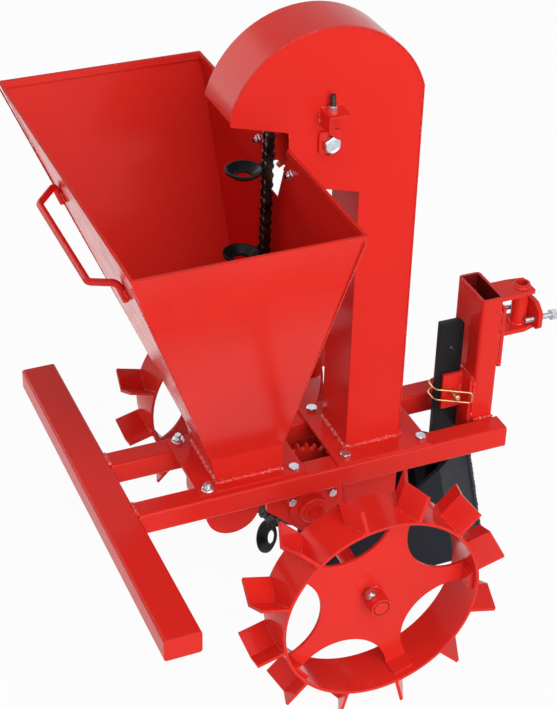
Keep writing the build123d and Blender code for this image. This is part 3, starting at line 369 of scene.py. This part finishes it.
def walk(points, step, closed):
    """Points at an even step along straight runs."""
    corners = [Vector(p) for p in points] + ([Vector(points[0])] if closed else [])
    places = []
    for a, b in zip(corners, corners[1:]):
        count = max(2, round((b - a).length / step))
        places.extend(a.lerp(b, i / count) for i in range(count))
    return places if closed else places + [corners[-1]]


# Weld beads: their step and ripple are in bead radii

BEAD_STEP, RIPPLE, BEAD_POINTS = 0.42, 2.6, 8
WIDE_BEAD, BEAD, GROOVE_BEAD, GAP_BEAD = 5.4 * MM, 4.2 * MM, 3.8 * MM, 3.6 * MM
EDGE_BEAD, HUB_BEAD, FINE_BEAD, COLLAR_BEAD, SEAM = 3.0 * MM, 2.8 * MM, 2.4 * MM, 2.0 * MM, 1.3 * MM


def bead(shape, points, radius, closed=False):
    """A weld bead along a line: overlapping ripples of uneven size, and tapered ends where it is open."""
    places = walk(points, radius * BEAD_STEP, closed)
    total = len(places)
    ripple = RIPPLE * radius * MM / (radius * MM * BEAD_STEP)
    sizes = [chance.uniform(0.88, 1.12) for _ in range(int(total / ripple) + 2)]
    rings = []
    for i, place in enumerate(places):
        before = places[i - 1] if i or closed else place
        after = places[(i + 1) % total] if i + 1 < total or closed else place
        side, top = basis((after - before).normalized())
        phase = i / ripple
        swell = sizes[int(phase)] * (0.84 + 0.24 * abs(math.sin(math.pi * phase)))
        if not closed:
            swell *= min(1.0, 0.45 + 0.2 * min(i, total - 1 - i))
        turns = [math.tau * k / BEAD_POINTS for k in range(BEAD_POINTS)]
        rings.append([place + (side * math.cos(a) + top * math.sin(a)) * radius * swell for a in turns])
    shape.skin(rings, closed)


# Frame sizes. A foot is its rear, front, half width and height; a weld is its half length or its two ends

BAR_DEPTH, BAR_CAP = 60, 369.5
TUBE, TUBE_CORNER, TUBE_INSET = 40, 3, 2
BEAM_IN, BEAM_OUT, BEAM_CAP = 50, 90, 717.5
HOPPER_FOOT = (204, 318, 60, 5)
TOWER_HALF = 48
TOWER_FOOT = (436, 535, TOWER_HALF, 6)
AXLE_X, BRACKET_OUTER, BRACKET_WELD = 369, 59, 75
POST_REAR, POST_FRONT, POST_HALF = 675, 715, 45
CLAMP_LOW, CLAMP_TOP, CLAMP_OUTER = 9, 77, 11.3
CLAMP_BASE_REAR, CLAMP_BASE_SIDE, CLAMP_BASE_WELD = 667.3, 41.8, 39
FACE_PLATE_LOW, FACE_PLATE_TOP, FACE_PLATE_WELD = 98, 213, 43
HITCH_REAR, HITCH_TOP, HITCH_TOP_WELD = 721, 221, 24
LOW_PLATE_TOP, LOW_PLATE_WELD = 151, (25, 3)
EAR_REAR, EAR_WELD = 787, (3, 17)
BARREL_X, BARREL_RADIUS = 773, 14 * MM
ANGLE_REAR, ANGLE_LENGTH, ANGLE_LEG, ANGLE_SHEET, ANGLE_RISE = 365.5, 34, 23, 3, 54
angle_front = ANGLE_REAR + ANGLE_LENGTH
angle_low = (SHAFT.z - BEAM_TOP) / MM + ANGLE_RISE

frame_welds = Shape()
bead(frame_welds, level_ring(*HOPPER_FOOT), WIDE_BEAD, closed=True)
bead(frame_welds, level_ring(*TOWER_FOOT), WIDE_BEAD, closed=True)
for side in SIDES:
    beam_edges = [side * (BEAM_IN + TUBE_INSET), side * (BEAM_OUT - TUBE_INSET)]
    bead(frame_welds, across(BAR_DEPTH, *beam_edges, 0), BEAD)
    for face in (BEAM_IN, BEAM_OUT):
        bead(frame_welds, upright(BAR_DEPTH, side * face, -TUBE_CORNER, TUBE_CORNER - TUBE), BEAD)
    bead(frame_welds, across(BAR_DEPTH, *beam_edges, -TUBE), BEAD)
    post_gap = side * (POST_HALF + BEAM_IN) / 2
    for z in (-1, 1 - TUBE):
        bead(frame_welds, along(POST_REAR + 1, POST_FRONT - 1, post_gap, z), GAP_BEAD)
    bracket = along(AXLE_X - BRACKET_WELD, AXLE_X + BRACKET_WELD, side * BRACKET_OUTER, -TUBE)
    bead(frame_welds, bracket, BEAD)
    clamp_plate = upright(CLAMP_BASE_REAR, side * CLAMP_OUTER, CLAMP_LOW + 2, CLAMP_TOP - 2)
    bead(frame_welds, clamp_plate, FINE_BEAD)
    bead(frame_welds, upright(POST_REAR, side * CLAMP_BASE_SIDE, 2, CLAMP_TOP - 1), EDGE_BEAD)
    bead(frame_welds, across(EAR_REAR, *[side * y for y in EAR_WELD], LOW_PLATE_TOP), FINE_BEAD)
    low_plate = across(HITCH_REAR + 1, *[side * y for y in LOW_PLATE_WELD], LOW_PLATE_TOP)
    bead(frame_welds, low_plate, FINE_BEAD)
    wall = side * TOWER_HALF
    bead(frame_welds, along(ANGLE_REAR + 1, angle_front - 1, wall, angle_low + ANGLE_SHEET), FINE_BEAD)
    bead(frame_welds, upright(ANGLE_REAR, wall, angle_low + 1, angle_low + 1 - ANGLE_LEG), FINE_BEAD)
bead(frame_welds, across(POST_FRONT, -HITCH_TOP_WELD, HITCH_TOP_WELD, HITCH_TOP), BEAD)
bead(frame_welds, across(POST_FRONT + 1, -FACE_PLATE_WELD, FACE_PLATE_WELD, FACE_PLATE_LOW), FINE_BEAD)
bead(frame_welds, across(POST_REAR, -CLAMP_BASE_WELD, CLAMP_BASE_WELD, CLAMP_TOP), BEAD)
for z, radius in ((HITCH_TOP, COLLAR_BEAD), (LOW_PLATE_TOP, FINE_BEAD)):
    bead(frame_welds, circle(at(BARREL_X, 0, z), BARREL_RADIUS, 40, X_WAY, Y_WAY), radius, closed=True)
frame_welds.piece("frame_welds", "frame", "red_paint", welds["red_paint"])

# Seams: the hood's edges, the hopper's corners, the tube caps, and the groove behind the hitch face plate

HOOD_X, HOOD_Z, HOOD_SEAM_RADIUS = 380, 600, 160.5 * MM
HOOD_ARC = (math.radians(17.5), math.radians(165.5))
TOWER_SEAM_X, TOWER_SEAM_Z = 533.5, (10, 646)
HOPPER_FOLD_HALF, HOPPER_FOLD_Z, HOPPER_RIM_HALF, HOPPER_RIM_Z = 58, 55, 318, 570
HOPPER_CORNERS = ((-16, 193), (316, 316))
GROOVE_INSET = 3


def cap_corners(low, high):
    near, far = low + TUBE_INSET, high - TUBE_INSET
    return (near, -TUBE_INSET), (far, -TUBE_INSET), (far, TUBE_INSET - TUBE), (near, TUBE_INSET - TUBE)


seams = Shape()
for side in SIDES:
    wall = side * TOWER_HALF
    hood = at(HOOD_X, wall, HOOD_Z)
    bead(seams, arc(hood, HOOD_SEAM_RADIUS, *HOOD_ARC, 90, X_WAY, Z_WAY), SEAM)
    bead(seams, upright(TOWER_SEAM_X, wall, *TOWER_SEAM_Z), SEAM)
    for rim_x, fold_x in HOPPER_CORNERS:
        fold = at(fold_x, side * HOPPER_FOLD_HALF, HOPPER_FOLD_Z)
        bead(seams, [fold, at(rim_x, side * HOPPER_RIM_HALF, HOPPER_RIM_Z)], SEAM)
    bar_cap = [at(x, side * BAR_CAP, z) for x, z in cap_corners(0, BAR_DEPTH)]
    bead(seams, bar_cap, SEAM, closed=True)
    beam_cap = [at(BEAM_CAP, side * y, z) for y, z in cap_corners(BEAM_IN, BEAM_OUT)]
    bead(seams, beam_cap, SEAM, closed=True)
    groove_x, groove_y = POST_FRONT - GROOVE_INSET, side * (POST_HALF - GROOVE_INSET)
    bead(seams, upright(groove_x, groove_y, FACE_PLATE_LOW + 2, FACE_PLATE_TOP - 2), GROOVE_BEAD)
seams.piece("sheet_seams", "frame", "red_paint", welds["red_seam"])

# Handle feet: a bead down each side of the bar where it lies on the hopper's rear wall

WALL_FOLD, WALL_RIM = (191, 53), (-18, 581)
HANDLE_Y, HANDLE_EDGE, HANDLE_FOOT, OUT_OF_WALL = 151, 4.6, (446, 466), 2
wall_lean = (WALL_FOLD[0] - WALL_RIM[0]) / (WALL_RIM[1] - WALL_FOLD[1])

handle_welds = Shape()
for side in SIDES:
    for edge in (-HANDLE_EDGE, HANDLE_EDGE):
        ends = []
        for z in HANDLE_FOOT:
            x = WALL_FOLD[0] - OUT_OF_WALL - (z - WALL_FOLD[1]) * wall_lean
            ends.append(at(x, side * HANDLE_Y + edge, z))
        bead(handle_welds, ends, FINE_BEAD)
handle_welds.piece("handle_welds", "frame", "red_paint", welds["red_paint"])

# Wheels: beads beside every lug, at the spoke tabs and round the hub

RIM, RIM_INSIDE, HALF_RIM = 168.0, 163.0, 40.0
LUGS, LUG_HALF, LUG_CHORD = 12, 12.268, 5.535
SPOKES, SPOKE_FIRST, TAB_HALF = 5, 72.5, 17.0
RIM_MIDDLE, DISC_FACE, HUB_RADIUS = 303 * MM, 305 * MM, 17 * MM
TAB_START, TAB_END = 302 * MM, 332 * MM

for side, name in zip(SIDES, ("right", "left")):
    wheel_welds = Shape()
    middle = AXLE + Y_WAY * side * RIM_MIDDLE
    for k in range(LUGS):
        turn = Matrix.Rotation(math.radians((k + 0.5) * 360.0 / LUGS), 3, "Y")
        for face in (-LUG_HALF, LUG_CHORD - LUG_HALF):
            line = []
            for y in (1 - HALF_RIM, -HALF_RIM / 2, 0, HALF_RIM / 2, HALF_RIM - 1):
                t = face + (2 * LUG_HALF - LUG_CHORD) * abs(y) / HALF_RIM
                line.append(middle + turn @ (Vector((t, y, math.sqrt(RIM ** 2 - t ** 2))) * MM))
            bead(wheel_welds, line, FINE_BEAD)
    for k in range(SPOKES):
        angle = math.radians(SPOKE_FIRST + 360.0 / SPOKES * k)
        for edge in (-TAB_HALF, TAB_HALF):
            turn = angle + edge / RIM_INSIDE
            spot = AXLE + (X_WAY * math.cos(turn) + Z_WAY * math.sin(turn)) * (RIM_INSIDE - 1) * MM
            bead(wheel_welds, [spot + Y_WAY * side * y for y in (TAB_START, TAB_END)], FINE_BEAD)
    hub_foot = circle(AXLE + Y_WAY * side * DISC_FACE, HUB_RADIUS, 44, X_WAY, Z_WAY)
    bead(wheel_welds, hub_foot, HUB_BEAD, closed=True)
    wheel_welds.piece(f"{name}_wheel_welds", "axle_assembly", "red_paint", welds["red_seam"])

# Opener: a bead down the nose and beside the web where it meets the stem

NOSE_TOP, NOSE_FOOT = (695.5, -80), (741, -293)
STEM_FRONT, STEM_HALF, WEB_TOP, WEB_FOOT = 667, 5, -96, -266

opener_welds = Shape()
bead(opener_welds, [at(x, 0, z) for x, z in (NOSE_TOP, NOSE_FOOT)], BEAD)
for side in SIDES:
    bead(opener_welds, upright(STEM_FRONT, side * STEM_HALF, WEB_TOP, WEB_FOOT), FINE_BEAD)
opener_welds.piece("opener_welds", "frame", "slate_paint", welds["slate_paint"])

# Threads, heads and washers

M8_PITCH, M10_PITCH = 1.25 * MM, 1.5 * MM
M8_RADIUS, M10_RADIUS = 4 * MM, 5 * MM
M8_CREST, M10_CREST = 0.2 * MM, 0.25 * MM


def threads(shape, start, way, radius, length, pitch, crest=0.0):
    """A screwed rod: its surface rises and falls along a helix; crest lifts it above a plain shank."""
    way = way.normalized()
    side, top = basis(way)
    count, depth = 18, pitch * 0.55
    steps = max(4, round(length / pitch * 5))
    rings = []
    for i in range(steps + 1):
        z = length * i / steps
        taper = min(1.0, (length - z) / pitch + 0.35, z / pitch + 0.35)
        ring = []
        for k in range(count):
            turn = math.tau * k / count
            wave = abs(((z / pitch - k / count) % 1.0) * 2 - 1)
            r = radius + crest - depth * wave * taper - depth * 0.6 * (1 - taper)
            ring.append(start + way * z + (side * math.cos(turn) + top * math.sin(turn)) * r)
        rings.append(ring)
    shape.skin(rings)


def hex_head(shape, start, way, across_flats, height):
    """Hexagon head standing on a point, its outer corners turned off to a circle."""
    way = way.normalized()
    side, top = basis(way)
    count, face = 48, across_flats / 2 - 0.4 * MM
    low, high, rim, dish = [], [], [], []
    for k in range(count):
        turn = math.tau * k / count
        reach = across_flats / 2 / math.cos((turn + math.pi / 6) % (math.pi / 3) - math.pi / 6)
        out = side * math.cos(turn) + top * math.sin(turn)
        low.append(start + out * reach)
        high.append(start + out * reach + way * (height - (reach - face) * math.tan(math.pi / 6)))
        rim.append(start + out * face + way * height)
        dish.append(start + out * face * 0.86 + way * (height - 0.25 * MM))
    shape.skin([low, high, rim, dish])


def washer(shape, start, way, inner, outer, thickness):
    """A flat washer with slightly rounded outer edges."""
    side, top = basis(way)
    count, soft = 40, thickness * 0.25
    section = [(inner, 0), (inner, thickness), (outer - soft, thickness), (outer, thickness - soft),
               (outer, soft), (outer - soft, 0)]
    rings = []
    for k in range(count):
        turn = math.tau * k / count
        out = side * math.cos(turn) + top * math.sin(turn)
        rings.append([start + out * r + way * h for r, h in section])
    shape.skin(rings, closed=True)


# The top shaft's head has a forged dish with a raised rim

DISH_PROFILE = ((11.3, 0.0), (11.2, 0.5), (10.6, 0.9), (9.9, 0.9), (9.0, 0.4), (6.0, 0.25), (2.5, 0.3))

dish = Shape()
centre = Vector((SHAFT.x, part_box("top_shaft_bolt")[0][1] + 0.1 * MM, SHAFT.z))
dish.skin([circle(centre - Y_WAY * h * MM, r * MM, 40, X_WAY, Z_WAY) for r, h in DISH_PROFILE])
dish.piece("shaft_head_dish", "tensioner", "zinc")

# A seal round the axle in each bearing, and a dark ring of painted shade for the gap round each axle end
# in its hub

SEAL_Y, SEAL_SIZE = 81.5 * MM, (12.7 * MM, 19.5 * MM, 3.0 * MM)
GROOVE_SIZE = (12.3 * MM, 13.6 * MM, 0.3 * MM)

seals = Shape()
for side in SIDES:
    washer(seals, AXLE + Y_WAY * side * SEAL_Y, Y_WAY * side, *SEAL_SIZE)
seals.piece("bearing_seals", "frame", "red_paint", crease=35)

grooves = Shape()
for side, corner, name in zip(SIDES, (0, 1), ("right", "left")):
    end = Vector((AXLE.x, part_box(f"{name}_wheel_hub")[corner][1], AXLE.z))
    washer(grooves, end, Y_WAY * side, *GROOVE_SIZE)
grooves.piece("hub_grooves", "axle_assembly", "red_paint", gap_shade_red, crease=35)

# The tension rods are painted below the angles, where they are welded to the carriers

rods, painted_rods = Shape(), Shape()
rod_low, rod_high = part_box("tension_rods")
paint_line = SHAFT.z + 50 * MM
for y in (rod_low[1] + M8_RADIUS, rod_high[1] - M8_RADIUS):
    foot, line = Vector((SHAFT.x, y, rod_low[2])), Vector((SHAFT.x, y, paint_line))
    threads(painted_rods, foot, Z_WAY, M8_RADIUS, paint_line - rod_low[2], M8_PITCH)
    threads(rods, line, Z_WAY, M8_RADIUS, rod_high[2] - paint_line, M8_PITCH)
painted_rods.piece("painted_rods", "tensioner", "red_paint")
rod_piece = rods.piece("threaded_rods", "tensioner", "oiled_steel")
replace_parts(rod_piece, "tension_rods")

# The chain's links and seed cups are copied into pieces of their own, which stand in for the CAD nodes

for name in ("chain_inner_links", "chain_outer_links", "seed_cups"):
    run = bpy.data.objects.new(f"{name}_run", nodes[name].data.copy())
    bpy.context.scene.collection.objects.link(run)
    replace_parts(run, name)
    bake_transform(run)

# Limit bolts, screwed along their whole shank

LIMIT_HEAD, LIMIT_FLATS, LIMIT_OVERLAP = 10 * MM, 17 * MM, 0.5 * MM

for name in ("right_limit_bolt", "left_limit_bolt"):
    low, high = (Vector(corner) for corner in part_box(name))
    centre = (low + high) / 2
    bolt = Shape()
    tip = Vector((low.x, centre.y, centre.z))
    shank = high.x - low.x - LIMIT_HEAD + LIMIT_OVERLAP
    threads(bolt, tip, X_WAY, M10_RADIUS, shank, M10_PITCH)
    hex_head(bolt, Vector((high.x - LIMIT_HEAD, centre.y, centre.z)), X_WAY, LIMIT_FLATS, LIMIT_HEAD)
    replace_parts(bolt.piece(f"{name}_screwed", name, "zinc", crease=28), name)

# Thread ends and washers on the frame's bolts

BOLT_ROWS, BOLT_Y, STUD_X = (183, 333, 426, 564), 70, 183
NUT_LOW, STUD_LOW, FLANGE_TOP = -46.5, 11.3, 5
STUD_TAIL, BOLT_TAIL = 7.2 * MM, 3 * MM
LOW_WASHER = (5.2 * MM, 10.2 * MM, 1.8 * MM)
STUD_WASHER = (5.2 * MM, 10.6 * MM, 1.8 * MM)
TIE_WASHER = (4.2 * MM, 8.4 * MM, 1.5 * MM)
TIE_X, TIE_Y, TIE_Z, TIE_NUT = 316, 62, 544, 5.5
BEARING_BOLTS, BEARING_FIRST = 3, 30
BEARING_CIRCLE, BEARING_NUT_Y = 42 * MM, 45.5 * MM

stud_threads = Shape()
washers = Shape()
for x in BOLT_ROWS:
    for side in SIDES:
        nut = at(x, side * BOLT_Y, NUT_LOW)
        threads(stud_threads, nut, -Z_WAY, M10_RADIUS, BOLT_TAIL, M10_PITCH, M10_CREST)
        washer(washers, at(x, side * BOLT_Y, -TUBE), -Z_WAY, *LOW_WASHER)
for side in SIDES:
    stud = at(STUD_X, side * BOLT_Y, STUD_LOW)
    threads(stud_threads, stud, Z_WAY, M10_RADIUS, STUD_TAIL, M10_PITCH, M10_CREST)
    washer(washers, at(STUD_X, side * BOLT_Y, FLANGE_TOP), Z_WAY, *STUD_WASHER)
    tie_nut = at(TIE_X - TIE_NUT, side * TIE_Y, TIE_Z)
    threads(stud_threads, tie_nut, -X_WAY, M8_RADIUS, BOLT_TAIL, M8_PITCH, M8_CREST)
    washer(washers, at(TIE_X, side * TIE_Y, TIE_Z), -X_WAY, *TIE_WASHER)
    for k in range(BEARING_BOLTS):
        turn = math.radians(BEARING_FIRST + 360 / BEARING_BOLTS * k)
        spot = AXLE + (X_WAY * math.cos(turn) + Z_WAY * math.sin(turn)) * BEARING_CIRCLE
        nut = spot + Y_WAY * side * BEARING_NUT_Y
        threads(stud_threads, nut, -Y_WAY * side, M8_RADIUS, BOLT_TAIL, M8_PITCH, M8_CREST)
stud_threads.piece("stud_threads", "frame", "zinc", crease=35)
washers.piece("bolt_washers", "frame", "zinc", crease=30)

# Floor and background, white to the camera, to mirrors and through glass

FLOOR_REACH, FLOOR_DROP = 30.0, 0.8 * MM
FLOOR_GREY, FLOOR_WHITE_SHARE, WORLD_LIGHT = 0.90, 0.95, 0.08

corners = [(-1, -1), (1, -1), (1, 1), (-1, 1)]
floor_mesh = bpy.data.meshes.new("floor")
floor_mesh.from_pydata([(x * FLOOR_REACH, y * FLOOR_REACH, 0) for x, y in corners], [], [(0, 1, 2, 3)])
floor = bpy.data.objects.new("floor", floor_mesh)
floor.location.z = -FLOOR_DROP
bpy.context.scene.collection.objects.link(floor)


def seen_share(tree):
    """1 for rays that show the background itself: from the camera, or mirrored, or through glass."""
    path = tree.nodes.new("ShaderNodeLightPath")
    share = path.outputs["Is Camera Ray"]
    for key in ("Is Glossy Ray", "Is Transmission Ray"):
        larger = tree.nodes.new("ShaderNodeMath")
        larger.operation = "MAXIMUM"
        tree.links.new(share, larger.inputs[0])
        tree.links.new(path.outputs[key], larger.inputs[1])
        share = larger.outputs["Value"]
    return share


floor_material = bpy.data.materials.new("pale_floor")
floor_material.use_nodes = True
tree = floor_material.node_tree
tree.nodes.clear()
matte = tree.nodes.new("ShaderNodeBsdfDiffuse")
matte.inputs["Color"].default_value = (FLOOR_GREY, FLOOR_GREY, FLOOR_GREY, 1.0)
white = tree.nodes.new("ShaderNodeEmission")
white.inputs["Strength"].default_value = 1.0
part_white = tree.nodes.new("ShaderNodeMath")
part_white.operation = "MULTIPLY"
part_white.inputs[1].default_value = FLOOR_WHITE_SHARE
tree.links.new(seen_share(tree), part_white.inputs[0])
blend = tree.nodes.new("ShaderNodeMixShader")
tree.links.new(part_white.outputs["Value"], blend.inputs["Fac"])
tree.links.new(matte.outputs["BSDF"], blend.inputs[1])
tree.links.new(white.outputs["Emission"], blend.inputs[2])
surface = tree.nodes.new("ShaderNodeOutputMaterial").inputs["Surface"]
tree.links.new(blend.outputs["Shader"], surface)
floor_mesh.materials.append(floor_material)

world = bpy.data.worlds.new("studio")
bpy.context.scene.world = world
world.use_nodes = True
tree = world.node_tree
background = tree.nodes["Background"]
background.inputs["Color"].default_value = (1.0, 1.0, 1.0, 1.0)
level = tree.nodes.new("ShaderNodeMapRange")
level.inputs["To Min"].default_value = WORLD_LIGHT
level.inputs["To Max"].default_value = 1.0
tree.links.new(seen_share(tree), level.inputs["Value"])
tree.links.new(level.outputs["Result"], background.inputs["Strength"])

# Lamps: place, target, size in metres, power in watts


def softbox(name, place, target, size, power):
    """A square area lamp aimed at a point."""
    data = bpy.data.lights.new(name, "AREA")
    data.shape = "SQUARE"
    data.size = size
    data.energy = power
    lamp = bpy.data.objects.new(name, data)
    lamp.location = place
    lamp.rotation_euler = (Vector(target) - Vector(place)).to_track_quat("-Z", "Y").to_euler()
    bpy.context.scene.collection.objects.link(lamp)


softbox("key", (0.0, -3.6, 2.6), (0.0, 0.0, 0.45), 4.2, 150.0)
softbox("low", (0.5, -3.4, 0.5), (0.0, 0.0, 0.3), 1.6, 14.0)
softbox("top", (-0.5, -0.6, 4.2), (0.0, 0.0, 0.5), 2.4, 30.0)
softbox("left", (-3.8, -0.4, 0.95), (0.0, 0.0, 0.8), 1.6, 24.0)
softbox("back", (-1.8, 3.4, 1.7), (0.0, 0.0, 0.45), 2.4, 40.0)

# Camera at the photograph's viewing angle

PHOTO_HEIGHT, FOCAL_PIXELS, SENSOR = 709, 1749.01, 36.0
CAMERA_PLACE = (-1.0080, -2.1386, 2.0457)
CAMERA_RIGHT = (0.92186, -0.38690, 0.02146)
CAMERA_BACK = (-0.3325, -0.7614, 0.5566)

camera_data = bpy.data.cameras.new("camera")
camera_data.sensor_width = SENSOR
camera_data.lens = FOCAL_PIXELS * SENSOR / PHOTO_HEIGHT
camera_data.clip_start, camera_data.clip_end = 0.05, 100.0
camera = bpy.data.objects.new("camera", camera_data)
back = Vector(CAMERA_BACK).normalized()
up = back.cross(Vector(CAMERA_RIGHT).normalized()).normalized()
right = up.cross(back)
camera_turn = Matrix((right, up, back)).transposed().to_4x4()
camera.matrix_world = Matrix.Translation(CAMERA_PLACE) @ camera_turn
bpy.context.scene.collection.objects.link(camera)
bpy.context.scene.camera = camera
bpy.context.scene.view_settings.view_transform = "Standard"
